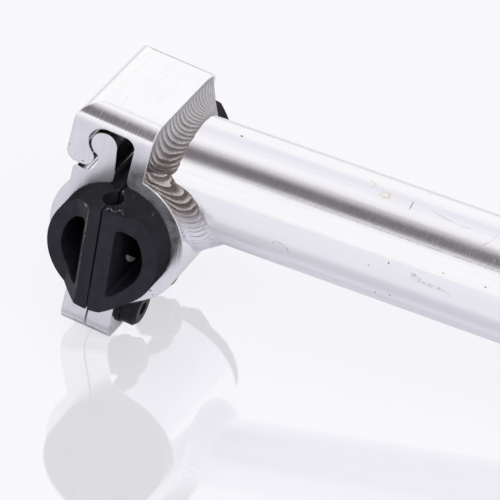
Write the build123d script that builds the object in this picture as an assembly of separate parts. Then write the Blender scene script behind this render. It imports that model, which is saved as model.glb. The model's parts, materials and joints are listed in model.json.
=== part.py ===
import math
import os

from build123d import *

os.makedirs("parts", exist_ok=True)

# Driving dimensions in millimetres and degrees
tube_diameter = 25.4
tube_wall = 2.4
tube_reach = 235.0
tube_offset = 11.45
tube_end_chamfer = 0.6
head_width = 33.0
head_lean = 4.7
head_edge_round = 4.4
head_top = 27.9
head_bottom = -27.15
head_end = 3.0
nose_left = -15.05
cradle_diameter = 25.4
cradle_length = 55.0
cradle_lean = 1.0
split_gap = 0.4
rail_diameter = 7.0
rail_spacing = 44.0
lug_left = -8.1
lug_right = 3.25
lug_slit = 0.4
lug_slit_middle = -2.3
bolt_diameter = 5.0
bolt_edge = 7.5
bolt_height = -20.0
bolt_reach = 13.1

# Clearances
bore_clearance = 0.05
rail_clearance = 0.05
hook_pocket_gap = 0.85
hook_tip_gap = 1.0
bolt_hole_clearance = 0.25
washer_clearance = 0.15
seat_clearance = 0.3

# Sizes derived from the ones above
tube_radius = tube_diameter / 2
cradle_radius = cradle_diameter / 2
bore_radius = cradle_radius + bore_clearance
ring_wall = 2.85
ring_step = 0.1
ring_outer = bore_radius + ring_wall
jaw_outer = ring_outer - ring_step
half_width = head_width / 2
bolt_spacing = head_width - 2 * bolt_edge
slit_right = lug_slit_middle + lug_slit / 2
slit_left = lug_slit_middle - lug_slit / 2
lug_root = -8.0
gusset_root = -11.0
gusset_tilt = -53.4

# Hook that the jaw hangs in
tip_radius = 2.1
tip_center = (-10.9, 15.8)
nose_bottom = tip_center[1] - tip_radius
nose_round = 2.4
nose_top_round = 4.6
bulb_radius = 2.95
bulb_center = (-7.25, 20.15)
pocket_center = (-7.1, 20.3)
pocket_radius = bulb_radius + hook_pocket_gap
slot_right = -0.5
slot_top = pocket_center[1] + pocket_radius
slot_corner = 2.4
slot_root = 8.0
arm_right = -3.55
arm_bend = 14.2
arm_neck = (-9.15, 17.9)
arm_left = -9.5
shoulder_top = 13.0
shoulder_left = -12.9
shoulder_root = 6.0
shoulder_round = 1.0
mouth_round = 1.3

# Cap screws and washers
screw_head_radius = 0.85 * bolt_diameter
screw_head_height = 3.6
washer_rim = 0.4
cap_edge = 0.8
shank_edge = 0.5
hex_across_flats = 3.0
hex_depth = 2.0
washer_radius = screw_head_radius + washer_rim
washer_thick = 0.6
washer_hole_radius = bolt_diameter / 2 + washer_clearance
bolt_hole_radius = bolt_diameter / 2 + bolt_hole_clearance
seat_radius = washer_radius + seat_clearance

# Ends of the rail cradle
land_half = 3.0
flat_start = 7.3
end_drop = 3.7
pocket_rim = 3.3
pocket_flat = 3.5
pocket_corner = 0.7
groove_offset = 1.3
groove_radius = rail_diameter / 2 + rail_clearance

# Weld runs, and the slight taper that they pull into the tube beside them
weld_leg_tube = 5.0
weld_leg_bottom = 3.7
weld_inset = 0.25
weld_hollow = 0.7
corner_power = 8
weld_meet = 14.9
weld_root = 0.4
weld_facets = 4
plate_weld_spans = 24
ring_weld_spans = 20
weld_pull = 0.05
weld_pull_reach = 26.0

far = 60.0

# Angle at which the post comes to rest on the lug corner and the tube end
lean = math.radians(head_lean)
corner_round = 0.5
corner_x = lug_right - corner_round
corner_z = head_bottom + corner_round
rest_x = corner_x * math.cos(lean) + corner_z * math.sin(lean)
rest_z = -corner_x * math.sin(lean) + corner_z * math.cos(lean)
drop = rest_z - tube_offset + tube_radius
run = tube_reach - tube_end_chamfer - rest_x
lay = math.asin(corner_round / math.hypot(drop, run)) - math.atan2(drop, run)
lay_deg = math.degrees(lay)
table = -rest_x * math.sin(lay) + rest_z * math.cos(lay) - corner_round

# Places in the lying frame, set on the table and centred along the post
head_turn = Rot(0, lay_deg + head_lean, 0)
post_turn = Rot(0, lay_deg, 0)
cradle_turn = Rot(0, lay_deg + cradle_lean, 0)


def flat_box(x0, x1, z0, z1):
    return Pos((x0 + x1) / 2, (z0 + z1) / 2) * Rectangle(x1 - x0, z1 - z0)


def mouth_height(x):
    return math.sqrt(bore_radius ** 2 - x ** 2)


def round_corner(profile, x, z, radius):
    near = sorted(profile.vertices(), key=lambda v: math.hypot(v.X - x, v.Y - z))
    return fillet(near[0], radius)


def across(profile, width):
    return extrude(Plane.XZ * profile, amount=width / 2, both=True)


# Profile of the fixed head: hook plate, half ring and lug
plate = flat_box(nose_left, head_end, nose_bottom, head_top)
left_corners = plate.vertices().group_by(Axis.X)[0].sort_by(Axis.Y)
plate = fillet(left_corners[-1], nose_top_round)
left_corners = plate.vertices().group_by(Axis.X)[0].sort_by(Axis.Y)
plate = fillet(left_corners[0], nose_round)

ring_disc = Circle(ring_outer)
bore_disc = Circle(bore_radius)
ring_side = flat_box(slot_right, far, 0, far) + flat_box(slit_right, far, -far, 0)
fixed_ring = (ring_disc - bore_disc) & ring_side

fixed_lug = flat_box(slit_right, lug_right, head_bottom, lug_root)
lug_corner = fixed_lug.vertices().group_by(Axis.Y)[0].sort_by(Axis.X)[-1]
fixed_lug = fillet(lug_corner, corner_round)

gusset_angle = math.radians(gusset_tilt)
gusset_x = ring_outer * math.cos(gusset_angle)
gusset_z = ring_outer * math.sin(gusset_angle)
gusset_run = (lug_right - gusset_x) / math.sin(gusset_angle)
gusset_low = gusset_z - gusset_run * math.cos(gusset_angle)
gusset = make_face(Polyline(
    (gusset_x, gusset_z),
    (lug_right, gusset_low),
    (lug_right, gusset_root),
    (gusset_x, gusset_root),
    close=True))

slot_box = flat_box(pocket_center[0], slot_right, slot_root, slot_top)
slot_corner_vertex = slot_box.vertices().group_by(Axis.Y)[-1].sort_by(Axis.X)[-1]
slot_box = fillet(slot_corner_vertex, slot_corner)
pocket_disc = Pos(*pocket_center) * Circle(pocket_radius)
tip_disc = Pos(*tip_center) * Circle(tip_radius)
reach = math.hypot(tip_center[0] - pocket_center[0], tip_center[1] - pocket_center[1])
touch_z = pocket_center[1] + (tip_center[1] - pocket_center[1]) * pocket_radius / reach
throat = flat_box(tip_center[0], pocket_center[0], slot_root, touch_z) - tip_disc
slot = slot_box + pocket_disc + throat

fixed_profile = plate + fixed_ring + fixed_lug + gusset - bore_disc - slot
fixed_profile = round_corner(fixed_profile, slot_right, mouth_height(slot_right), mouth_round)

# Profile of the hinged jaw: bulb, arm, half ring and lug
jaw_side = flat_box(-far, arm_right, 0, far) + flat_box(-far, slit_left, -far, 0)
jaw_ring = (Circle(jaw_outer) - bore_disc) & jaw_side
shoulder = flat_box(shoulder_left, arm_right, shoulder_root, shoulder_top)
shoulder_vertex = shoulder.vertices().group_by(Axis.X)[0].sort_by(Axis.Y)[-1]
shoulder = fillet(shoulder_vertex, shoulder_round)
bulb = Pos(*bulb_center) * Circle(bulb_radius)
arm = make_face(Polyline(
    (arm_right, slot_root),
    (arm_right, arm_bend),
    (bulb_center[0] + bulb_radius, bulb_center[1]),
    bulb_center,
    arm_neck,
    (arm_left, slot_root),
    close=True))
notch = Pos(*tip_center) * Circle(tip_radius + hook_tip_gap)
jaw_lug = flat_box(lug_left, slit_left, head_bottom, lug_root)
jaw_corner = jaw_lug.vertices().group_by(Axis.Y)[0].sort_by(Axis.X)[0]
jaw_lug = fillet(jaw_corner, corner_round)
jaw_profile = jaw_ring + shoulder + arm - notch + bulb + jaw_lug - bore_disc
jaw_profile = round_corner(jaw_profile, arm_right, mouth_height(arm_right), mouth_round)

# Side outline that rounds the long edges of head and jaw
side_outline = Pos(0, (head_top + head_bottom) / 2) * RectangleRounded(
    head_width, head_top - head_bottom, head_edge_round)
side_body = extrude(Plane.YZ * side_outline, amount=far, both=True)

bolt_places = [(-bolt_spacing / 2, "near"), (bolt_spacing / 2, "far")]
head = across(fixed_profile, head_width) & side_body
jaw = across(jaw_profile, head_width) & side_body
for bolt_y, side in bolt_places:
    bolt_line = Pos(0, bolt_y, bolt_height) * Rot(0, 90, 0)
    head -= bolt_line * Cylinder(bolt_hole_radius, 2 * far)
    jaw -= bolt_line * Cylinder(bolt_hole_radius, 2 * far)
    seat = Pos(lug_right, bolt_y, bolt_height) * Rot(0, 90, 0) * Cylinder(
        seat_radius, far, align=(Align.CENTER, Align.CENTER, Align.MIN))
    head -= seat

# Tube, coped to the ring and squared off against the hook plate
tube_line = Pos(0, 0, tube_offset) * Rot(0, 90, 0)
from_start = (Align.CENTER, Align.CENTER, Align.MIN)
solid_tube = Cone(tube_radius - weld_pull, tube_radius, weld_pull_reach, align=from_start)
straight_reach = tube_reach - weld_pull_reach
solid_tube += Pos(0, 0, weld_pull_reach) * Cylinder(tube_radius, straight_reach, align=from_start)
solid_tube = tube_line * solid_tube
plate_space = Rot(0, head_lean, 0) * Pos(head_end - far / 2, 0, 0) * Box(far, far, 2 * far)
ring_space = Rot(90, 0, 0) * Cylinder(ring_outer, 2 * far)
tube = chamfer(solid_tube.edges().sort_by(Axis.X)[-1], tube_end_chamfer)
tube -= tube_line * Cylinder(tube_radius - tube_wall, 3 * tube_reach)
tube = tube - plate_space - ring_space

# How far the hook plate reaches from the tube's axis, a little short of its rounded corners
plate_top = head_top * math.cos(lean) - head_end * math.sin(lean) - tube_offset


def plate_reach(a):
    side = abs(math.cos(a)) / half_width
    up = math.sin(a) / plate_top
    return (side ** corner_power + up ** corner_power) ** (-1 / corner_power)


# Weld beads, lofted through sections that each lie in a plane through the tube's axis
meet_turn = math.degrees(math.asin((weld_meet - tube_offset) / tube_radius))


def weld_leg(a):
    if math.sin(a) >= 0:
        return plate_reach(a) - tube_radius - weld_inset
    side_leg = half_width - tube_radius - weld_inset
    return side_leg * math.cos(a) ** 2 + weld_leg_bottom * math.sin(a) ** 2


def head_face(z):
    ring = math.sqrt(max(ring_outer ** 2 - z ** 2, 0))
    plate_face = head_end / math.cos(lean) + z * math.tan(lean)
    return max(ring, plate_face)


def weld_section(turn):
    a = math.radians(turn)
    leg = weld_leg(a)
    quarter = [math.pi / 2 * i / weld_facets for i in range(weld_facets + 1)]
    full = 1 - weld_hollow
    on_tube = [full * math.cos(q) + weld_hollow * (1 - math.sin(q)) for q in quarter]
    on_head = [full * math.sin(q) + weld_hollow * (1 - math.cos(q)) for q in quarter]
    outline = [(weld_leg_tube * t, leg * h) for t, h in zip(on_tube, on_head)]
    outline += [(-weld_root, leg), (-weld_root, -weld_root), (weld_leg_tube, -weld_root)]
    points = []
    for along, out in outline:
        z = tube_offset + (tube_radius + out) * math.sin(a)
        points.append((head_face(z) + along, (tube_radius + out) * math.cos(a), z))
    return make_face(Polyline(*points, close=True))


def weld_bead(turns):
    bead = loft([weld_section(turn) for turn in turns], ruled=True)
    return bead - solid_tube - plate_space - ring_space


plate_steps = [2 * i / plate_weld_spans - 1 for i in range(plate_weld_spans + 1)]
upper_bead = weld_bead([90 + (90 - meet_turn) * step for step in plate_steps])

# The run along the ring has its sections closer together where the ring curls away
ring_steps = [math.cos(math.pi * i / ring_weld_spans) for i in range(ring_weld_spans + 1)]
lower_bead = weld_bead([-90 + (90 + meet_turn) * step for step in ring_steps])

# Rail cradle halves, one each side of the split
half_disc = Circle(cradle_radius) & flat_box(split_gap / 2, far, -far, far)
pocket_arc = Circle(cradle_radius - pocket_rim) & flat_box(pocket_flat, far, -far, far)
pocket = fillet(pocket_arc.vertices(), pocket_corner)
end_y = cradle_length / 2
end_cut = make_face(Polyline(
    (land_half, end_y),
    (flat_start, end_y - end_drop),
    (far, end_y - end_drop),
    (far, far),
    (land_half, far),
    close=True))
half = across(half_disc, cradle_length) - across(pocket, 2 * cradle_length)
end_wedge = extrude(end_cut, amount=far, both=True)
half = half - end_wedge - mirror(end_wedge, Plane.XZ)
for rail_y in (-rail_spacing / 2, rail_spacing / 2):
    half -= Pos(-groove_offset, rail_y, 0) * Cylinder(groove_radius, far)
inner_half = half
outer_half = mirror(half, Plane.YZ)

# Cap screw and washer, built along X from the lug face
screw_start = lug_right + washer_thick
shank = Pos(screw_start - bolt_reach, 0, 0) * Rot(0, 90, 0) * Cylinder(
    bolt_diameter / 2, bolt_reach, align=(Align.CENTER, Align.CENTER, Align.MIN))
shank = chamfer(shank.edges().sort_by(Axis.X)[0], shank_edge)
cap = Pos(screw_start, 0, 0) * Rot(0, 90, 0) * Cylinder(
    screw_head_radius, screw_head_height, align=(Align.CENTER, Align.CENTER, Align.MIN))
cap = chamfer(cap.edges().sort_by(Axis.X)[-1], cap_edge)
hex_face = Plane.YZ * RegularPolygon(hex_across_flats / 2, 6, major_radius=False)
hex_hole = Pos(screw_start + screw_head_height - hex_depth, 0, 0) * extrude(hex_face, amount=far)
screw = shank + cap - hex_hole
washer = Pos(lug_right, 0, 0) * Rot(0, 90, 0) * (
    Cylinder(washer_radius, washer_thick, align=(Align.CENTER, Align.CENTER, Align.MIN))
    - Cylinder(washer_hole_radius, 3 * washer_thick))

# Put every piece into the lying frame
pieces = {
    "post_tube": post_turn * tube,
    "clamp_head": head_turn * head,
    "hinged_jaw": head_turn * jaw,
    "weld_bead_upper": post_turn * upper_bead,
    "weld_bead_lower": post_turn * lower_bead,
    "cradle_inner": cradle_turn * inner_half,
    "cradle_outer": cradle_turn * outer_half,
}
for bolt_y, side in bolt_places:
    pieces["clamp_bolt_" + side] = head_turn * Pos(0, bolt_y, bolt_height) * screw
    pieces["bolt_washer_" + side] = head_turn * Pos(0, bolt_y, bolt_height) * washer

left = min(shape.bounding_box().min.X for shape in pieces.values())
right = max(shape.bounding_box().max.X for shape in pieces.values())
low = min(shape.bounding_box().min.Z for shape in pieces.values())
shift = Pos(-(left + right) / 2, 0, -low)

for name, shape in pieces.items():
    placed = shift * shape
    export_step(placed, "parts/" + name + ".step")
    box = placed.bounding_box()
    print(name, len(placed.solids()), round(placed.volume, 1), box.min, box.max)


def place(x, y, z, turn_deg):
    a = math.radians(turn_deg)
    px = x * math.cos(a) + z * math.sin(a) - (left + right) / 2
    pz = -x * math.sin(a) + z * math.cos(a) - low
    return (round(px, 4), round(y, 4), round(pz, 4))


print("lay", round(lay_deg, 4), "table", round(table, 4), "low", round(low, 4))
print("cradle axis", place(0, 0, 0, 0))
print("hinge axis", place(bulb_center[0], 0, bulb_center[1], lay_deg + head_lean))
print("bolt line at lug face", place(lug_right, bolt_spacing / 2, bolt_height, lay_deg + head_lean))
print("tube end", place(tube_reach, 0, tube_offset, lay_deg))
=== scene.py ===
import bpy
import json
import math
from mathutils import Matrix, Vector, noise


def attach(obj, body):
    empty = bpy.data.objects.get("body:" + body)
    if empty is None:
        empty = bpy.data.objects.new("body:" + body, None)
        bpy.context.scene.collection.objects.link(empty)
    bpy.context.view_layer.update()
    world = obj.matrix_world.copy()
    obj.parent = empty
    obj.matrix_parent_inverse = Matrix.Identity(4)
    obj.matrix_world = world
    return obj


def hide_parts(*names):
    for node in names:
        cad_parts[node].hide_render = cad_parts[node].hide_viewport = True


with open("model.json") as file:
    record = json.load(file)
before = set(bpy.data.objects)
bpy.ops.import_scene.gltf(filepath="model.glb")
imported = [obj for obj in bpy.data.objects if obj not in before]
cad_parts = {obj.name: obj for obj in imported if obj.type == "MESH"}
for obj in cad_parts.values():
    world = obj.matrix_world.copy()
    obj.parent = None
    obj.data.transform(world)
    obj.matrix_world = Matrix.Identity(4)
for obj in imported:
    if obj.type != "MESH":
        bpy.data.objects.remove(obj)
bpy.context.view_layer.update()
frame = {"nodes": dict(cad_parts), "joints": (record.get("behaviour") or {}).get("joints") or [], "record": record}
nodes = frame["nodes"]
joints = {joint["name"]: joint for joint in frame["joints"]}
mounts = {mount["name"]: mount for mount in frame["record"]["mounts"]}
mm = 0.001
print("frame loaded with", len(nodes), "nodes")

# axes of the lying post, read from its joints and mounts
acrossAxis = Vector((0, 1, 0))
barrelMiddle = Vector(joints["cradle_tilt"]["pos_m"])
tubeAxis = Vector(mounts["post"]["axis"]).normalized()
tubeUp = tubeAxis.cross(acrossAxis)
screwAxis = Vector(joints["bolt_near_turn"]["axis"]).normalized()
railAxis = Vector(mounts["rail_near"]["axis"]).normalized()
splitAxis = acrossAxis.cross(railAxis)
tubeRadius = mounts["post"]["dims"]["r_mm"]
tubeOffset = (Vector(mounts["post"]["pos_m"]) - barrelMiddle).dot(tubeUp) / mm
tubeMiddle = barrelMiddle + tubeUp * tubeOffset * mm    # on the tube's axis, above the barrel's middle


def leanOf(axis):
    return math.atan2(-axis.z, axis.x)


def inTubeFrame(along, side, up):
    return barrelMiddle + (tubeAxis * along + acrossAxis * side + tubeUp * up) * mm


def inBarrelFrame(out, side, up):
    return barrelMiddle + (splitAxis * out + acrossAxis * side + railAxis * up) * mm


def onTubeSkin(along, turn):
    # a point on the tube in its own axis frame, in millimetres; turn 0 faces the front, 90 the top
    angle = math.radians(turn)
    return Vector((along, -tubeRadius * math.cos(angle), tubeRadius * math.sin(angle)))


# small helpers for shader trees
def newTree(name):
    material = bpy.data.materials.new(name)
    material.use_nodes = True
    material.node_tree.nodes.clear()
    return material, material.node_tree


def addNode(tree, kind, values=None, **settings):
    node = tree.nodes.new(kind)
    for key, value in settings.items():
        setattr(node, key, value)
    for key, value in (values or {}).items():
        node.inputs[key].default_value = value
    return node


def wire(tree, source, target):
    tree.links.new(source, target)


def feed(tree, value, socket):
    # a plain value goes on the socket itself, and another node's output is wired to it
    if isinstance(value, (int, float, tuple)):
        socket.default_value = value
    else:
        wire(tree, value, socket)


def localCoords(tree, origin, lean, grain=(1, 1, 1)):
    # object coordinates turned into a piece's own frame and counted in grains, which are in mm
    coords = addNode(tree, "ShaderNodeTexCoord")
    scale = tuple(size * mm for size in grain)
    mapping = addNode(tree, "ShaderNodeMapping", {
        "Location": origin, "Rotation": (0, lean, 0), "Scale": scale}, vector_type="TEXTURE")
    wire(tree, coords.outputs["Object"], mapping.inputs["Vector"])
    return mapping.outputs["Vector"]


def axesOf(tree, vector):
    parts = addNode(tree, "ShaderNodeSeparateXYZ")
    wire(tree, vector, parts.inputs["Vector"])
    return parts.outputs


def noiseOn(tree, vector, scale=1.0, detail=3.0, rough=0.55, distortion=0.0):
    texture = addNode(tree, "ShaderNodeTexNoise", {
        "Scale": scale, "Detail": detail, "Roughness": rough, "Distortion": distortion})
    wire(tree, vector, texture.inputs["Vector"])
    return texture.outputs["Fac"]


def ranged(tree, value, low, high, outLow, outHigh):
    node = addNode(tree, "ShaderNodeMapRange", {
        "From Min": low, "From Max": high, "To Min": outLow, "To Max": outHigh}, clamp=True)
    wire(tree, value, node.inputs["Value"])
    return node.outputs["Result"]


def blended(tree, mask, first, second):
    # colours as tuples or sockets, mixed by a mask
    node = addNode(tree, "ShaderNodeMix", data_type="RGBA")
    wire(tree, mask, node.inputs["Factor"])
    for key, value in (("A", first), ("B", second)):
        feed(tree, value, [s for s in node.inputs if s.name == key and s.type == "RGBA"][0])
    return [s for s in node.outputs if s.type == "RGBA"][0]


def mixedShader(tree, share, first, second):
    node = addNode(tree, "ShaderNodeMixShader")
    feed(tree, share, node.inputs["Fac"])
    wire(tree, first, node.inputs[1])
    wire(tree, second, node.inputs[2])
    return node.outputs["Shader"]


def mathOf(tree, operation, first, second=0.0):
    node = addNode(tree, "ShaderNodeMath", operation=operation)
    feed(tree, first, node.inputs[0])
    feed(tree, second, node.inputs[1])
    return node.outputs[0]


def markMask(tree, vector, start, end, halfWidth, core=0.6):
    # one stroke or spot: an ellipsoid from start to end, 1 in its core and 0 outside
    run = end - start
    mapping = addNode(tree, "ShaderNodeMapping", {
        "Location": (start + end) / 2,
        "Rotation": run.to_track_quat("X", "Z").to_euler(),
        "Scale": (run.length / 2 + halfWidth, halfWidth, halfWidth)}, vector_type="TEXTURE")
    wire(tree, vector, mapping.inputs["Vector"])
    length = addNode(tree, "ShaderNodeVectorMath", operation="LENGTH")
    wire(tree, mapping.outputs["Vector"], length.inputs[0])
    return ranged(tree, length.outputs["Value"], core, 1.0, 1.0, 0.0)


def linishedEdge(tree, normal, stops):
    # long edges shade as if ground flatter than their round
    # stops pair true and shown degrees from the top
    leastUpright = 0.001  # keeps the division below from zero
    parts = axesOf(tree, normal)
    turn = mathOf(tree, "ARCSINE", mathOf(tree, "ABSOLUTE", parts["Y"]))
    bent = None
    for (low, lowShown), (high, highShown) in zip(stops, stops[1:]):
        rise = math.radians(highShown - lowShown)
        step = ranged(tree, turn, math.radians(low), math.radians(high), 0, rise)
        bent = step if bent is None else mathOf(tree, "ADD", bent, step)
    upright = mathOf(tree, "MAXIMUM", mathOf(tree, "COSINE", turn), leastUpright)
    scale = mathOf(tree, "DIVIDE", mathOf(tree, "COSINE", bent), upright)
    side = mathOf(tree, "MULTIPLY", mathOf(tree, "SINE", bent), mathOf(tree, "SIGN", parts["Y"]))
    shown = addNode(tree, "ShaderNodeCombineXYZ")
    wire(tree, mathOf(tree, "MULTIPLY", parts["X"], scale), shown.inputs["X"])
    wire(tree, side, shown.inputs["Y"])
    wire(tree, mathOf(tree, "MULTIPLY", parts["Z"], scale), shown.inputs["Z"])
    return shown.outputs["Vector"]


def finishMetal(tree, shader, heights, softEdge, edgeStops=None):
    # heights are (socket, strength, depth in mm), stacked on edges rounded by softEdge in mm
    soft = addNode(tree, "ShaderNodeBevel", {"Radius": softEdge * mm}, samples=4)
    normal = soft.outputs["Normal"]
    if edgeStops:
        normal = linishedEdge(tree, normal, edgeStops)
    for height, strength, depth in heights:
        bump = addNode(tree, "ShaderNodeBump", {"Strength": strength, "Distance": depth * mm})
        wire(tree, height, bump.inputs["Height"])
        wire(tree, normal, bump.inputs["Normal"])
        normal = bump.outputs["Normal"]
    wire(tree, normal, shader.inputs["Normal"])
    out = addNode(tree, "ShaderNodeOutputMaterial")
    wire(tree, shader.outputs["BSDF"], out.inputs["Surface"])


# in the looks below, a grain is in mm along, across and up, a span is the stretch of a noise or
# a measure over which one tone gives way to the other, and a bump is its strength and depth in mm

# tube: drawn and polished aluminium with faint lines along it, the marks of handling, and two lines painted along
# the lower edge of the dark band it mirrors
tubeLook = dict(
    light=(0.96, 0.95, 0.97, 1),
    shade=(0.92, 0.91, 0.935, 1),
    lineGrain=(40.0, 0.35, 0.35),
    lineSpan=(0.3, 0.7),
    lineBump=(0.6, 0.014),
    streakGrain=(0.22, 2.5, 2.5),
    streakBump=(0.5, 0.05),
    cloudGrain=(9.0, 9.0, 9.0),
    cloudSpan=(0.35, 0.65),
    roughness=(0.12, 0.18),
    markRoughness=0.6,
    softEdge=0.25,
    residueColour=(0.82, 0.76, 0.50, 1),
    darkColour=(0.10, 0.09, 0.09, 1),
    brownColour=(0.40, 0.32, 0.25, 1),
    hairAndLineColour=(0.52, 0.50, 0.52, 1),
    lineColour=(0.95, 0.94, 0.96, 1),
    patchScale=1.3,
    patchSpan=(0.38, 0.58),
    patchShare=(0.15, 0.7),
    dotScale=2.6,
    dotSpan=(0.53, 0.62),
    dotShare=(0.05, 0.9),
    # marks run from start to end, each by mm along the tube and degrees around it, with half their width
    residue=[
        ((48.3, 89.0), (50.2, 85.0), 0.35), ((50.2, 85.0), (49.6, 80.5), 0.30),
        ((52.0, 73.0), (54.2, 72.4), 0.45), ((54.1, 73.0), (53.7, 80.4), 0.40),
        ((53.6, 80.0), (52.2, 78.5), 0.35), ((52.2, 78.5), (51.8, 74.0), 0.25),
    ],
    scratches=[((59.1, 80.9), (59.2, 68.2), 0.13)],
    specks=[
        ((18.7, 87.8), (18.9, 87.2), 0.30), ((57.0, -29.2), (57.1, -29.6), 0.20),
        ((60.3, -25.5), (60.5, -25.7), 0.16), ((55.0, 3.1), (55.1, 3.0), 0.13),
        ((59.1, 12.4), (59.3, 12.2), 0.18), ((71.0, 20.9), (71.1, 20.7), 0.14),
        ((80.4, 21.8), (80.6, 21.6), 0.16), ((60.6, 102.1), (60.7, 101.8), 0.16),
    ],
    browns=[
        ((64.6, 9.0), (67.0, 5.0), 0.75), ((66.2, 4.9), (71.9, 4.4), 0.60),
        ((70.3, 5.7), (73.5, 2.4), 0.45),
    ],
    hairs=[
        ((76.6, 58.7), (77.9, 64.5), 0.09), ((77.9, 64.5), (78.7, 77.0), 0.09),
        ((63.1, 76.7), (70.0, 70.7), 0.07), ((70.0, 70.7), (73.4, 71.0), 0.06),
        ((33.3, -10.7), (34.2, -6.6), 0.12), ((34.2, -6.6), (36.3, -8.7), 0.12),
        ((36.3, -8.7), (37.3, -15.9), 0.12),
    ],
    # a rough pale line and a darker line, painted along the tube where the dark band it mirrors ends below
    bandEdgePaleLines=[((10.0, 41.9), (135.0, 41.9), 0.11)],
    bandEdgeDarkLines=[((10.0, 39.4), (135.0, 39.4), 0.12)],
)


def tubeMaterial(look):
    material, tree = newTree("tubeAluminium")
    lean = leanOf(tubeAxis)
    skin = localCoords(tree, tubeMiddle, lean)
    lines = noiseOn(tree, localCoords(tree, tubeMiddle, lean, look["lineGrain"]), detail=3)
    streaks = noiseOn(tree, localCoords(tree, tubeMiddle, lean, look["streakGrain"]), detail=3)
    clouds = noiseOn(tree, localCoords(tree, tubeMiddle, lean, look["cloudGrain"]), detail=5)
    patches = noiseOn(tree, skin, scale=look["patchScale"], detail=3)
    patchy = ranged(tree, patches, *look["patchSpan"], *look["patchShare"])
    dots = noiseOn(tree, skin, scale=look["dotScale"], detail=4)
    dotted = ranged(tree, dots, *look["dotSpan"], *look["dotShare"])
    groups = (
        ("residue", "residueColour", patchy),
        ("scratches", "darkColour", None),
        ("specks", "darkColour", None),
        ("browns", "brownColour", dotted),
        ("hairs", "hairAndLineColour", None),
        ("bandEdgePaleLines", "lineColour", patchy),
        ("bandEdgeDarkLines", "hairAndLineColour", patchy),
    )
    colour = blended(tree, ranged(tree, lines, *look["lineSpan"], 0, 1), look["shade"], look["light"])
    marked = None
    for group, tint, broken in groups:
        for start, end, halfWidth in look[group]:
            mask = markMask(tree, skin, onTubeSkin(*start), onTubeSkin(*end), halfWidth)
            if broken is not None:
                mask = mathOf(tree, "MULTIPLY", mask, broken)
            colour = blended(tree, mask, colour, look[tint])
            marked = mask if marked is None else mathOf(tree, "MAXIMUM", marked, mask)
    shader = addNode(tree, "ShaderNodeBsdfPrincipled", {"Metallic": 1.0})
    wire(tree, colour, shader.inputs["Base Color"])
    smooth = ranged(tree, clouds, *look["cloudSpan"], *look["roughness"])
    onMarks = mathOf(tree, "MULTIPLY", marked, look["markRoughness"])
    wire(tree, mathOf(tree, "MAXIMUM", smooth, onMarks), shader.inputs["Roughness"])
    heights = [(lines, *look["lineBump"]), (streaks, *look["streakBump"])]
    finishMetal(tree, shader, heights, look["softEdge"])
    return material


# head and jaw: forged aluminium, linished flat, with dark specks here and there, and painted shade on their
# sideways faces
headLook = dict(
    light=(0.99, 0.985, 0.995, 1),
    shade=(0.94, 0.935, 0.95, 1),
    # the sideways faces take darker colours than the others: painted shade
    paintedShadeFlankLight=(0.80, 0.79, 0.83, 1),
    paintedShadeFlankDark=(0.75, 0.74, 0.785, 1),
    flankSpan=(0.90, 0.995),          # a face is a flank where its normal points this much sideways
    streakGrain=(0.45, 5.0, 5.0),
    streakSpan=(0.32, 0.68),
    streakBump=(0.5, 0.06),
    cloudGrain=(6.0, 6.0, 6.0),
    cloudSpan=(0.35, 0.65),
    polish=(0.10, 0.16),              # roughness of the other faces
    satin=(0.31, 0.22),               # roughness of the flanks, left and right of the barrel
    satinSpan=(-2.0, 7.0),            # mm from the barrel's middle
    haze=(0.05, 0.18),                # share of the flanks that scatters light, in patches
    hazeScale=0.28,
    hazeSpan=(0.4, 0.6),
    softEdge=0.35,
    edgeStops=[(0, 0), (20, 28), (62, 47), (78, 76), (90, 90)],
    dirtColour=(0.20, 0.19, 0.20, 1),
    speckCore=0.3,
    # specks by mm from the barrel's middle, with their half width
    specks=[
        ((10.2, -16.5, -9.4), 0.30), ((9.2, -16.5, -10.4), 0.22), ((10.9, -16.5, -10.2), 0.20),
        ((8.4, -16.5, -11.6), 0.16), ((-11.2, -16.5, 14.4), 0.24), ((-14.9, -16.5, 17.0), 0.18),
    ],
)


def headMaterial(look):
    material, tree = newTree("headAluminium")
    lean = leanOf(screwAxis)
    place = localCoords(tree, barrelMiddle, lean)
    streaks = noiseOn(tree, localCoords(tree, barrelMiddle, lean, look["streakGrain"]), detail=4)
    clouds = noiseOn(tree, localCoords(tree, barrelMiddle, lean, look["cloudGrain"]), detail=4)
    facing = axesOf(tree, addNode(tree, "ShaderNodeNewGeometry").outputs["Normal"])
    flank = ranged(tree, mathOf(tree, "ABSOLUTE", facing["Y"]), *look["flankSpan"], 0, 1)
    brushed = ranged(tree, streaks, *look["streakSpan"], 0, 1)
    # sideways faces get the darker pair of colours: painted shade
    colour = blended(tree, flank, blended(tree, brushed, look["shade"], look["light"]),
                     blended(tree, brushed, look["paintedShadeFlankDark"], look["paintedShadeFlankLight"]))
    for spot, halfWidth in look["specks"]:
        start = Vector(spot)
        end = start + Vector((halfWidth, 0, halfWidth / 2))
        mask = markMask(tree, place, start, end, halfWidth, look["speckCore"])
        colour = blended(tree, mask, colour, look["dirtColour"])
    shader = addNode(tree, "ShaderNodeBsdfPrincipled")
    wire(tree, colour, shader.inputs["Base Color"])
    hazes = noiseOn(tree, place, scale=look["hazeScale"], detail=3)
    hazy = mathOf(tree, "MULTIPLY", flank, ranged(tree, hazes, *look["hazeSpan"], *look["haze"]))
    wire(tree, mathOf(tree, "SUBTRACT", 1.0, hazy), shader.inputs["Metallic"])
    satin = ranged(tree, axesOf(tree, place)["X"], *look["satinSpan"], *look["satin"])
    rough = addNode(tree, "ShaderNodeMix", data_type="FLOAT")
    wire(tree, flank, rough.inputs[0])
    wire(tree, ranged(tree, clouds, *look["cloudSpan"], *look["polish"]), rough.inputs[2])
    wire(tree, satin, rough.inputs[3])
    wire(tree, rough.outputs[0], shader.inputs["Roughness"])
    finishMetal(tree, shader, [(streaks, *look["streakBump"])], look["softEdge"], look["edgeStops"])
    return material
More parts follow.
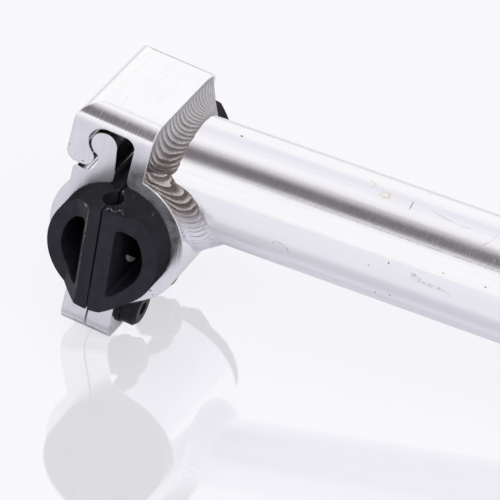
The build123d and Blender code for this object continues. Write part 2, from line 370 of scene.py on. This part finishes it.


# weld: rippled filler metal, tinted brown by the heat where its runs meet, with painted shade between its ripples
# and a painted highlight on one side of each ripple fading to painted shade on the other
weldLook = dict(
    # each light and dark pair runs from a painted highlight on one side of a ripple to painted shade on the other;
    # the hot pair is also browned by the heat
    coolLight=(0.62, 0.605, 0.625, 1),
    coolDark=(0.29, 0.275, 0.285, 1),
    hotLight=(0.70, 0.67, 0.66, 1),
    hotDark=(0.115, 0.088, 0.078, 1),
    cleanLight=(0.94, 0.93, 0.97, 1),
    cleanDark=(0.74, 0.73, 0.78, 1),
    # painted shade in the valleys between the ripples
    groove=(0.05, 0.04, 0.036, 1),
    grooveSpan=(0.35, 1.0),
    grooveShare=(0.0, 0.7),
    hotMiddle=4.5,                    # mm above the tube's axis
    hotSpan=(4.5, 10.5),              # mm from there
    cleanSpan=(-1.0, -6.5),           # mm above the tube's axis
    tintGrain=(5.0, 5.0, 5.0),
    tintSpan=(0.3, 0.6),
    tintShare=(0.6, 1.0),
    fineGrain=(0.3, 0.3, 0.3),
    fineSpan=(0.3, 0.7),
    fineBump=(0.15, 0.04),
    mottle=0.12,
    bandSpan=(0.0, 0.62),             # from the painted highlight to the painted shade side of a ripple
    roughness=(0.16, 0.26),
    softEdge=0.1,
)


def weldMaterial(look):
    material, tree = newTree("weldMetal")
    lean = leanOf(tubeAxis)
    tint = noiseOn(tree, localCoords(tree, barrelMiddle, lean, look["tintGrain"]), detail=4, distortion=0.6)
    fine = noiseOn(tree, localCoords(tree, barrelMiddle, lean, look["fineGrain"]), detail=4)
    height = axesOf(tree, localCoords(tree, tubeMiddle, lean))["Z"]
    paintedRippleShade = addNode(tree, "ShaderNodeAttribute", attribute_name="paintedRippleShade").outputs["Fac"]
    valley = addNode(tree, "ShaderNodeAttribute", attribute_name="groove").outputs["Fac"]
    mottled = ranged(tree, fine, *look["fineSpan"], -look["mottle"], look["mottle"])
    # across each ripple, from its painted highlight to its painted shade
    band = ranged(tree, mathOf(tree, "ADD", paintedRippleShade, mottled), *look["bandSpan"], 0, 1)
    fromHot = mathOf(tree, "ABSOLUTE", mathOf(tree, "SUBTRACT", height, look["hotMiddle"]))
    hot = mathOf(tree, "MULTIPLY", ranged(tree, fromHot, *look["hotSpan"], 1, 0),
                 ranged(tree, tint, *look["tintSpan"], *look["tintShare"]))
    clean = ranged(tree, height, *look["cleanSpan"], 0, 1)
    colour = blended(tree, hot, blended(tree, band, look["coolLight"], look["coolDark"]),
                     blended(tree, band, look["hotLight"], look["hotDark"]))
    colour = blended(tree, clean, colour, blended(tree, band, look["cleanLight"], look["cleanDark"]))
    # painted shade in the valleys between the ripples
    darkened = ranged(tree, valley, *look["grooveSpan"], *look["grooveShare"])
    colour = blended(tree, darkened, colour, look["groove"])
    shader = addNode(tree, "ShaderNodeBsdfPrincipled", {"Metallic": 1.0})
    wire(tree, colour, shader.inputs["Base Color"])
    wire(tree, ranged(tree, fine, *look["fineSpan"], *look["roughness"]), shader.inputs["Roughness"])
    finishMetal(tree, shader, [(fine, *look["fineBump"])], look["softEdge"])
    return material


# rail cradle: black anodised aluminium, rubbed bright along a few edges, with a painted highlight along its left
# land's outer edge and at its top, and a pale spot in its right pocket
cradleLook = dict(
    black=(0.0105, 0.0098, 0.0145, 1),
    dusty=(0.018, 0.017, 0.024, 1),
    bright=(0.26, 0.255, 0.265, 1),
    paleSpot=(0.90, 0.89, 0.91, 1),
    cloudGrain=(3.0, 3.0, 3.0),
    cloudSpan=(0.35, 0.68),
    fineGrain=(0.35, 0.35, 0.35),
    fineSpan=(0.3, 0.7),
    fineBump=(0.12, 0.04),
    sheen=0.2,
    roughness=(0.40, 0.55),
    softEdge=0.30,
    rubAndHighlightSpan=(0.44, 0.56),
    rubAndHighlightShare=(0.05, 1.0),
    # strokes run from start to end, by mm from the barrel's middle, with half their width
    strokes=[
        # the first three strokes are a painted highlight along the left land's outer edge and at its top; the rest
        # are rubbed wear
        ((-3.0, -27.5, 12.3), (-3.0, -27.5, 2.0), 0.13), ((-3.0, -27.5, 2.0), (-3.0, -27.5, -12.0), 0.08),
        ((-3.6, -27.2, 11.9), (-4.9, -26.2, 11.5), 0.5),
        ((0.5, -27.4, 12.7), (1.0, -25.8, 12.7), 0.17), ((1.0, -25.8, 12.7), (2.2, -26.7, 12.6), 0.15),
        ((2.2, -26.7, 12.6), (2.6, -25.7, 12.5), 0.16), ((2.6, -25.7, 12.5), (3.3, -24.5, 12.3), 0.15),
        ((3.3, -24.5, 12.3), (4.2, -25.8, 12.0), 0.15), ((0.5, -18.0, 12.75), (0.9, -19.0, 12.7), 0.15),
        ((0.9, -19.0, 12.7), (1.0, -20.7, 12.7), 0.17), ((3.2, -18.2, 12.4), (3.0, -18.6, 12.4), 0.16),
        ((8.0, -18.1, 10.0), (8.1, -18.9, 9.9), 0.13), ((7.6, -18.3, 10.3), (8.4, -17.9, 9.7), 0.11),
    ],
    paleSpotPlace=((3.5, -17.07, -3.09), (3.5, -12.55, -6.21), 1.25),
    paleSpotCore=0.85,
    paleSpotCut=(0, -0.5688, -0.8225),    # the spot's straight edge faces this way
    paleSpotSpan=(12.15, 12.35),          # mm from the barrel's middle, that way
)


# the barrel's knurl: the same finish, but duller, and darker in colour as painted shade
knurlLook = dict(
    black=(0.004, 0.0037, 0.005, 1),
    dusty=(0.008, 0.0075, 0.0105, 1),
    sheen=0.1,
    softEdge=0.02,
)


def cradleMaterial(name, look):
    material, tree = newTree(name)
    lean = leanOf(splitAxis)
    place = localCoords(tree, barrelMiddle, lean)
    fine = noiseOn(tree, localCoords(tree, barrelMiddle, lean, look["fineGrain"]), detail=4)
    clouds = noiseOn(tree, localCoords(tree, barrelMiddle, lean, look["cloudGrain"]), detail=5)
    colour = blended(tree, ranged(tree, clouds, *look["cloudSpan"], 0, 1), look["black"], look["dusty"])
    rubAndHighlightBreakup = ranged(tree, fine, *look["rubAndHighlightSpan"], *look["rubAndHighlightShare"])
    # strokes: painted highlight on the left land's edge, rubbed wear elsewhere
    for start, end, halfWidth in look["strokes"]:
        mask = markMask(tree, place, Vector(start), Vector(end), halfWidth)
        colour = blended(tree, mathOf(tree, "MULTIPLY", mask, rubAndHighlightBreakup), colour, look["bright"])
    # a pale wedge painted on the right pocket's wall
    start, end, halfWidth = look["paleSpotPlace"]
    spot = markMask(tree, place, Vector(start), Vector(end), halfWidth, look["paleSpotCore"])
    past = addNode(tree, "ShaderNodeVectorMath", {1: look["paleSpotCut"]}, operation="DOT_PRODUCT")
    wire(tree, place, past.inputs[0])
    cut = ranged(tree, past.outputs["Value"], *look["paleSpotSpan"], 0, 1)
    colour = blended(tree, mathOf(tree, "MULTIPLY", spot, cut), colour, look["paleSpot"])
    shader = addNode(tree, "ShaderNodeBsdfPrincipled", {"Specular IOR Level": look["sheen"]})
    wire(tree, colour, shader.inputs["Base Color"])
    wire(tree, ranged(tree, fine, *look["fineSpan"], *look["roughness"]), shader.inputs["Roughness"])
    finishMetal(tree, shader, [(fine, *look["fineBump"])], look["softEdge"])
    return material


# screws and washers: black oxide
screwLook = dict(
    black=(0.006, 0.0057, 0.0065, 1),
    grey=(0.014, 0.0133, 0.0147, 1),
    cloudGrain=(1.2, 1.2, 1.2),
    cloudSpan=(0.4, 0.66),
    cloudBump=(0.1, 0.05),
    sheen=0.15,
    roughSpan=(0.3, 0.7),
    roughness=(0.30, 0.45),
    softEdge=0.25,
)


def screwMaterial(look):
    material, tree = newTree("blackSteel")
    lean = leanOf(screwAxis)
    clouds = noiseOn(tree, localCoords(tree, barrelMiddle, lean, look["cloudGrain"]), detail=5)
    colour = blended(tree, ranged(tree, clouds, *look["cloudSpan"], 0, 1), look["black"], look["grey"])
    shader = addNode(tree, "ShaderNodeBsdfPrincipled", {"Specular IOR Level": look["sheen"]})
    wire(tree, colour, shader.inputs["Base Color"])
    wire(tree, ranged(tree, clouds, *look["roughSpan"], *look["roughness"]), shader.inputs["Roughness"])
    finishMetal(tree, shader, [(clouds, *look["cloudBump"])], look["softEdge"])
    return material


tubeAluminium = tubeMaterial(tubeLook)
headAluminium = headMaterial(headLook)
weldMetal = weldMaterial(weldLook)
blackAnodised = cradleMaterial("blackAnodised", cradleLook)
blackKnurl = cradleMaterial("blackKnurl", dict(cradleLook, **knurlLook))
blackSteel = screwMaterial(screwLook)

nodeFinish = dict(
    post_tube=tubeAluminium,
    clamp_head=headAluminium,
    hinged_jaw=headAluminium,
    weld_bead_upper=weldMetal,
    weld_bead_lower=weldMetal,
    cradle_inner=blackAnodised,
    cradle_outer=blackAnodised,
    clamp_bolt_near=blackSteel,
    clamp_bolt_far=blackSteel,
    bolt_washer_near=blackSteel,
    bolt_washer_far=blackSteel,
)
for nodeName, material in nodeFinish.items():
    nodes[nodeName].data.materials.clear()
    nodes[nodeName].data.materials.append(material)
print("finishes on", len(nodeFinish), "nodes")


def newPiece(name, points, faces, material, body, smooth=True):
    mesh = bpy.data.meshes.new(name)
    mesh.from_pydata(points, [], faces)
    mesh.validate()
    piece = bpy.data.objects.new(name, mesh)
    bpy.context.scene.collection.objects.link(piece)
    mesh.materials.append(material)
    mesh.polygons.foreach_set("use_smooth", [smooth] * len(mesh.polygons))
    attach(piece, body)
    return piece


# weld runs: ripples laid one over the other around the tube, in millimetres
weldShape = dict(
    legTube=5.0,          # spread along the tube
    legBottom=3.7,        # spread over the ring, under the tube
    inset=0.35,           # from the plate's outline
    hollow=0.7,           # 0 is a full fillet, 1 a hollow one
    root=0.5,             # sunk into the tube and the head
    cornerPower=8,
    halfWidth=16.5,
    plateTop=16.11,
    ringOuter=15.6,
    headEnd=3.0,
    headLean=math.radians(4.7),
    midReach=2.0,         # from the tube to the middle of the weld, where its length counts
    step=0.10,            # between sections
    sides=28,
    ripplePitch=1.35,
    rippleHeight=0.4,
    rippleSpread=0.25,    # by which ripples differ in height
    rippleStride=1.7,     # steps of noise from ripple to ripple
    ripplePower=0.7,
    wander=0.22,
    headWander=0.088,
    wanderRate=0.6,       # steps of noise for each mm, here and below
    waveShift=0.4,
    waveRate=0.35,
    endTaper=3.2,
    swellPlace=3.4,
    swellReach=2.6,
    waveRow=0.0,          # rows of noise, one for each use
    rippleRow=1.0,
    headRow=3.0,
    tubeRow=7.0,
)
meetTurn = 15.77          # degrees above the tube's side where the runs meet
overlap = 9.0             # degrees by which the lower run climbs over the upper
upperRun = dict(
    turns=(meetTurn, 180 - meetTurn),
    bulge=-2.3,           # mm by which a ripple's middle runs ahead of its ends
    blunt=0.45,           # share of the full width at the run's ends
    swell=0.0,            # mm added on the tube near the run's ends
    seed=2.0,
)
lowerRun = dict(
    turns=(meetTurn + overlap, -180 - meetTurn - overlap),
    bulge=1.9,
    blunt=0.55,
    swell=1.3,
    seed=5.0,
)


def headFace(shape, up):
    ring = math.sqrt(max(shape["ringOuter"] ** 2 - up ** 2, 0))
    plate = shape["headEnd"] / math.cos(shape["headLean"]) + up * math.tan(shape["headLean"])
    return max(ring, plate)


def weldLeg(shape, turn):
    # how far the weld spreads over the head, up to the plate's outline or along the ring
    side = abs(math.cos(turn)) / shape["halfWidth"]
    if math.sin(turn) < 0:
        sideLeg = shape["halfWidth"] - tubeRadius - shape["inset"]
        return sideLeg * math.cos(turn) ** 2 + shape["legBottom"] * math.sin(turn) ** 2
    up = math.sin(turn) / shape["plateTop"]
    power = shape["cornerPower"]
    return (side ** power + up ** power) ** (-1 / power) - tubeRadius - shape["inset"]


def steadyNoise(place, seed, row):
    return noise.noise(Vector((place, seed, row)))


def weldLegs(shape, run, turn, place, toEnd):
    # how far one section spreads along the tube and over the head
    taper = run["blunt"] + (1 - run["blunt"]) * math.sqrt(min(1.0, toEnd / shape["endTaper"]))
    drift = place * shape["wanderRate"]
    legTube = shape["legTube"] * taper
    legTube += shape["wander"] * steadyNoise(drift, run["seed"], shape["tubeRow"])
    legTube += run["swell"] * math.exp(-((toEnd - shape["swellPlace"]) / shape["swellReach"]) ** 2)
    legHead = weldLeg(shape, turn) * taper
    legHead += shape["headWander"] * (steadyNoise(drift, run["seed"], shape["headRow"]) - 1)
    return legTube, legHead


def weldSection(shape, run, place, legTube, legHead):
    # each point by mm along and out of the tube, with its share of groove and its place from the painted highlight
    # to the painted shade of its ripple
    wave = shape["waveShift"] * steadyNoise(place * shape["waveRate"], run["seed"], shape["waveRow"])
    reach = math.hypot(legTube, legHead)
    hollow = shape["hollow"]
    section = []
    for side in range(shape["sides"] + 1):
        share = side / shape["sides"]
        corner = share * math.pi / 2
        crown = math.sin(math.pi * share)
        phase = (place - run["bulge"] * crown + wave) / shape["ripplePitch"]
        ripple = abs(math.sin(math.pi * phase)) ** shape["ripplePower"]
        uneven = steadyNoise(math.floor(phase) * shape["rippleStride"], run["seed"], shape["rippleRow"])
        swell = ripple * crown * (shape["rippleHeight"] + shape["rippleSpread"] * uneven)
        onTube = (1 - hollow) * math.cos(corner) + hollow * (1 - math.sin(corner))
        onHead = (1 - hollow) * math.sin(corner) + hollow * (1 - math.cos(corner))
        # place across the ripple, from its painted highlight to its painted shade
        along = phase % 1.0 if run["bulge"] < 0 else 1 - phase % 1.0
        paintedRippleShade = 0.5 + (along - 0.5) * min(1, 2 * crown)  # fades to a middle tone at the weld's edges
        section.append((legTube * onTube + swell * legHead / reach,
                        legHead * onHead + swell * legTube / reach, (1 - ripple) * crown, paintedRippleShade))
    root = -shape["root"]
    return section + [(root, legHead, 0.0, 0.0), (root, root, 0.0, 0.0), (legTube, root, 0.0, 0.0)]


def weldRun(name, node, shape, run):
    # sections lie in planes through the tube's axis; each ripple is a crescent across the run
    startTurn, endTurn = run["turns"]
    length = abs(math.radians(endTurn - startTurn)) * (tubeRadius + shape["midReach"])
    count = int(length / shape["step"])
    verts, grooves, paintedRippleShades = [], [], []
    for index in range(count + 1):
        place = index / count * length
        turn = math.radians(startTurn + (endTurn - startTurn) * index / count)
        legTube, legHead = weldLegs(shape, run, turn, place, min(place, length - place))
        section = weldSection(shape, run, place, legTube, legHead)
        for ahead, out, groove, paintedRippleShade in section:
            up = tubeOffset + (tubeRadius + out) * math.sin(turn)
            side = -(tubeRadius + out) * math.cos(turn)
            verts.append(inTubeFrame(headFace(shape, up) + ahead, side, up))
            grooves.append(groove)
            paintedRippleShades.append(paintedRippleShade)
    width = len(section)
    faces = []
    for index in range(count):
        for side in range(width):
            nextSide = (side + 1) % width
            faces.append((index * width + side, index * width + nextSide,
                          (index + 1) * width + nextSide, (index + 1) * width + side))
    faces.append(tuple(range(width - 1, -1, -1)))
    faces.append(tuple(count * width + side for side in range(width)))
    piece = newPiece(name, verts, faces, weldMetal, "post")
    piece.data.attributes.new("groove", "FLOAT", "POINT").data.foreach_set("value", grooves)
    piece.data.attributes.new("paintedRippleShade", "FLOAT", "POINT").data.foreach_set("value", paintedRippleShades)
    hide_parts(node)
    return piece


upperWeld = weldRun("weldUpperRun", "weld_bead_upper", weldShape, upperRun)
lowerWeld = weldRun("weldLowerRun", "weld_bead_lower", weldShape, lowerRun)
print("weld runs:", len(upperWeld.data.polygons), "and", len(lowerWeld.data.polygons), "faces")

# knurl: fine ridges along the barrel outside the clamp, in millimetres
knurlShape = dict(
    radius=12.7,
    ridges=175,
    height=0.13,
    halfWidth=0.16,
    sink=0.05,
    start=16.75,          # from the barrel's middle
    endLong=27.3,         # at the lands beside the split
    endShort=23.6,        # where the sloped ends turn flat
    landHalf=3.0,
    flatStart=7.3,
    railMiddle=22.0,
    railHole=3.75,
    railOffset=1.3,
    splitHalf=0.45,
    shortest=0.3,         # shorter ridges are left out
)


def barrelEnd(shape, out):
    # how far the barrel reaches at this distance from its split
    share = (abs(out) - shape["landHalf"]) / (shape["flatStart"] - shape["landHalf"])
    share = min(max(share, 0), 1)
    return shape["endLong"] + (shape["endShort"] - shape["endLong"]) * share


def addRidge(points, faces, shape, angle, low, high):
    base = len(points)
    half = shape["halfWidth"] / shape["radius"]
    corners = ((-half, -shape["sink"]), (0, shape["height"]), (half, -shape["sink"]))
    for side in (low, high):
        for turn, rise in corners:
            reach = shape["radius"] + rise
            points.append(inBarrelFrame(reach * math.cos(angle + turn), side, reach * math.sin(angle + turn)))
    faces += [(base, base + 1, base + 2), (base + 3, base + 5, base + 4)]
    for one, two in ((0, 1), (1, 2), (2, 0)):
        faces.append((base + two, base + one, base + one + 3, base + two + 3))


def knurlPiece(shape):
    points, faces = [], []
    for index in range(shape["ridges"]):
        angle = 2 * math.pi * (index + 0.5) / shape["ridges"]
        out = shape["radius"] * math.cos(angle)
        if abs(out) < shape["splitHalf"]:
            continue
        spans = [(shape["start"], barrelEnd(shape, out))]
        fromRail = abs(out) + shape["railOffset"]
        if fromRail < shape["railHole"]:
            gap = math.sqrt(shape["railHole"] ** 2 - fromRail ** 2)
            spans = [(shape["start"], shape["railMiddle"] - gap),
                     (shape["railMiddle"] + gap, barrelEnd(shape, out))]
        for low, high in spans:
            if high - low > shape["shortest"]:
                addRidge(points, faces, shape, angle, low, high)
                addRidge(points, faces, shape, angle, -high, -low)
    return newPiece("barrelKnurl", points, faces, blackKnurl, "cradle", smooth=False)


knurl = knurlPiece(knurlShape)
print("knurl:", len(knurl.data.polygons), "faces")

# floor: white glossy board
floorLook = dict(
    size=12.0,
    white=(0.62, 0.61, 0.67, 1),
    sheen=(0.97, 0.965, 1.0, 1),
    glowTint=(0.975, 0.965, 1.0, 1),
    mirror=0.24,
    glow=0.84,            # share of the floor's tone that needs no lamp, as the camera sees it
    glowInMetal=0.2,      # the same, as metal mirrors it
    roughness=0.05,
)


def floorBoard(look):
    half = look["size"] / 2
    mesh = bpy.data.meshes.new("floorBoard")
    corners = [(-half, -half, 0), (half, -half, 0), (half, half, 0), (-half, half, 0)]
    mesh.from_pydata(corners, [], [(0, 1, 2, 3)])
    board = bpy.data.objects.new("floorBoard", mesh)
    bpy.context.scene.collection.objects.link(board)
    material, tree = newTree("whiteBoard")
    matte = addNode(tree, "ShaderNodeBsdfDiffuse", {"Color": look["white"]})
    bright = addNode(tree, "ShaderNodeEmission", {"Color": look["glowTint"]})
    gloss = addNode(tree, "ShaderNodeBsdfGlossy", {"Color": look["sheen"], "Roughness": look["roughness"]})
    path = addNode(tree, "ShaderNodeLightPath")
    direct = mathOf(tree, "MULTIPLY", path.outputs["Is Camera Ray"], look["glow"])
    inMetal = mathOf(tree, "MULTIPLY", path.outputs["Is Glossy Ray"], look["glowInMetal"])
    glowing = mathOf(tree, "MAXIMUM", direct, inMetal)
    seen = mixedShader(tree, glowing, matte.outputs["BSDF"], bright.outputs["Emission"])
    mirrored = mixedShader(tree, look["mirror"], seen, gloss.outputs["BSDF"])
    out = addNode(tree, "ShaderNodeOutputMaterial")
    wire(tree, mirrored, out.inputs["Surface"])
    mesh.materials.append(material)


# studio: white all round with one dark card overhead, and softboxes above, at the left and at the right
studioLook = dict(
    ambient=0.45,
    white=(1, 1, 1, 1),
    cardAcross=(0, 0.9063, 0.4226),   # points from the card's middle line towards its back edge
    cardLow=(-0.37, -0.15),           # front edge, by sines of the angle from that line
    cardHigh=(0.10, 0.42),            # back edge
    cardSide=-0.33,                   # sideways part of the direction to the card's middle
    cardHalf=(0.30, 0.45),
    cardFoot=(0.0, 0.15),             # upward part of the direction, where the card fades out
    cardShade=(0.18, 0.163, 0.18, 1),
    # the sweep's tone from the front horizon over the top to the back one, by degrees
    sweep=[
        (0, (1, 1, 1, 1)), (45, (1, 1, 1, 1)), (90, (0.95, 0.94, 0.965, 1)), (101, (0.985, 0.98, 1, 1)),
        (112, (0.93, 0.92, 0.965, 1)), (130, (0.855, 0.845, 0.91, 1)), (141, (0.98, 0.975, 1, 1)),
        (147, (1, 1, 1, 1)), (180, (1, 1, 1, 1)),
    ],
    # place and size in metres, power in watts
    lamps=[((0.0, 0.0, 1.7), 1.4, 11.0), ((-0.60, -1.33, 0.62), 1.05, 1.8), ((1.0, -1.2, 1.5), 1.5, 36.0)],
)


def darkCard(tree, look, direction):
    lift = addNode(tree, "ShaderNodeVectorMath", {1: look["cardAcross"]}, operation="DOT_PRODUCT")
    wire(tree, direction, lift.inputs[0])
    axes = axesOf(tree, direction)
    aside = mathOf(tree, "ABSOLUTE", mathOf(tree, "SUBTRACT", axes["X"], look["cardSide"]))
    card = ranged(tree, lift.outputs["Value"], *look["cardLow"], 0, 1)
    card = mathOf(tree, "MULTIPLY", card, ranged(tree, lift.outputs["Value"], *look["cardHigh"], 1, 0))
    card = mathOf(tree, "MULTIPLY", card, ranged(tree, aside, *look["cardHalf"], 1, 0))
    return mathOf(tree, "MULTIPLY", card, ranged(tree, axes["Z"], *look["cardFoot"], 0, 1))


def skySweep(tree, look, direction):
    axes = axesOf(tree, direction)
    over = mathOf(tree, "ARCTAN2", axes["Z"], mathOf(tree, "MULTIPLY", axes["Y"], -1.0))
    sweep = addNode(tree, "ShaderNodeValToRGB")
    stops = sweep.color_ramp.elements
    stops.remove(stops[1])
    for index, (degrees, tone) in enumerate(look["sweep"]):
        stop = stops[0] if index == 0 else stops.new(degrees / 180)
        stop.position = degrees / 180
        stop.color = tone
    wire(tree, ranged(tree, over, 0.0, math.pi, 0, 1), sweep.inputs["Fac"])
    return sweep.outputs["Color"]


def studioWorld(look):
    # metal mirrors the sweep and the card, the camera sees plain white, other rays find an even light
    world = bpy.data.worlds.new("studio")
    bpy.context.scene.world = world
    world.use_nodes = True
    tree = world.node_tree
    tree.nodes.clear()
    direction = addNode(tree, "ShaderNodeTexCoord").outputs["Generated"]
    tone = blended(tree, darkCard(tree, look, direction), skySweep(tree, look, direction), look["cardShade"])
    mirrored = addNode(tree, "ShaderNodeBackground")
    wire(tree, tone, mirrored.inputs["Color"])
    even = addNode(tree, "ShaderNodeBackground", {"Color": look["white"], "Strength": look["ambient"]})
    backdrop = addNode(tree, "ShaderNodeBackground", {"Color": look["white"]})
    path = addNode(tree, "ShaderNodeLightPath").outputs
    inMetal = mirrored.outputs["Background"]
    lit = mixedShader(tree, path["Is Glossy Ray"], even.outputs["Background"], inMetal)
    seen = mixedShader(tree, path["Is Camera Ray"], lit, backdrop.outputs["Background"])
    out = addNode(tree, "ShaderNodeOutputWorld")
    wire(tree, seen, out.inputs["Surface"])


def softboxes(look):
    for place, size, power in look["lamps"]:
        lamp = bpy.data.lights.new("softbox", "AREA")
        lamp.energy = power
        lamp.size = size
        lampObject = bpy.data.objects.new("softbox", lamp)
        lampObject.location = place
        lampObject.visible_glossy = False
        aimBack = Vector(place) - barrelMiddle
        lampObject.rotation_euler = aimBack.to_track_quat("Z", "Y").to_euler()
        bpy.context.scene.collection.objects.link(lampObject)


# camera: long lens, looking down by about 30 degrees, rolled a little
cameraView = dict(
    place=(0.2542, -0.8302, 0.5495),
    forward=(-0.32702, 0.79744, -0.50710),
    roll=2.4,
    lens=350.6,
    sensor=36.0,
    clipStart=0.05,
)


def studioCamera(view):
    forward = Vector(view["forward"]).normalized()
    level = forward.cross(Vector((0, 0, 1))).normalized()
    upright = level.cross(forward)
    roll = math.radians(view["roll"])
    right = level * math.cos(roll) + upright * math.sin(roll)
    up = right.cross(forward)
    camera = bpy.data.objects.new("camera", bpy.data.cameras.new("camera"))
    camera.data.lens = view["lens"]
    camera.data.sensor_width = view["sensor"]
    camera.data.clip_start = view["clipStart"]
    camera.matrix_world = Matrix.LocRotScale(
        Vector(view["place"]), Matrix((right, up, -forward)).transposed(), None)
    bpy.context.scene.collection.objects.link(camera)
    bpy.context.scene.camera = camera


floorBoard(floorLook)
studioWorld(studioLook)
softboxes(studioLook)
studioCamera(cameraView)
bpy.context.scene.view_settings.view_transform = "Standard"
print("stage, studio and camera set")
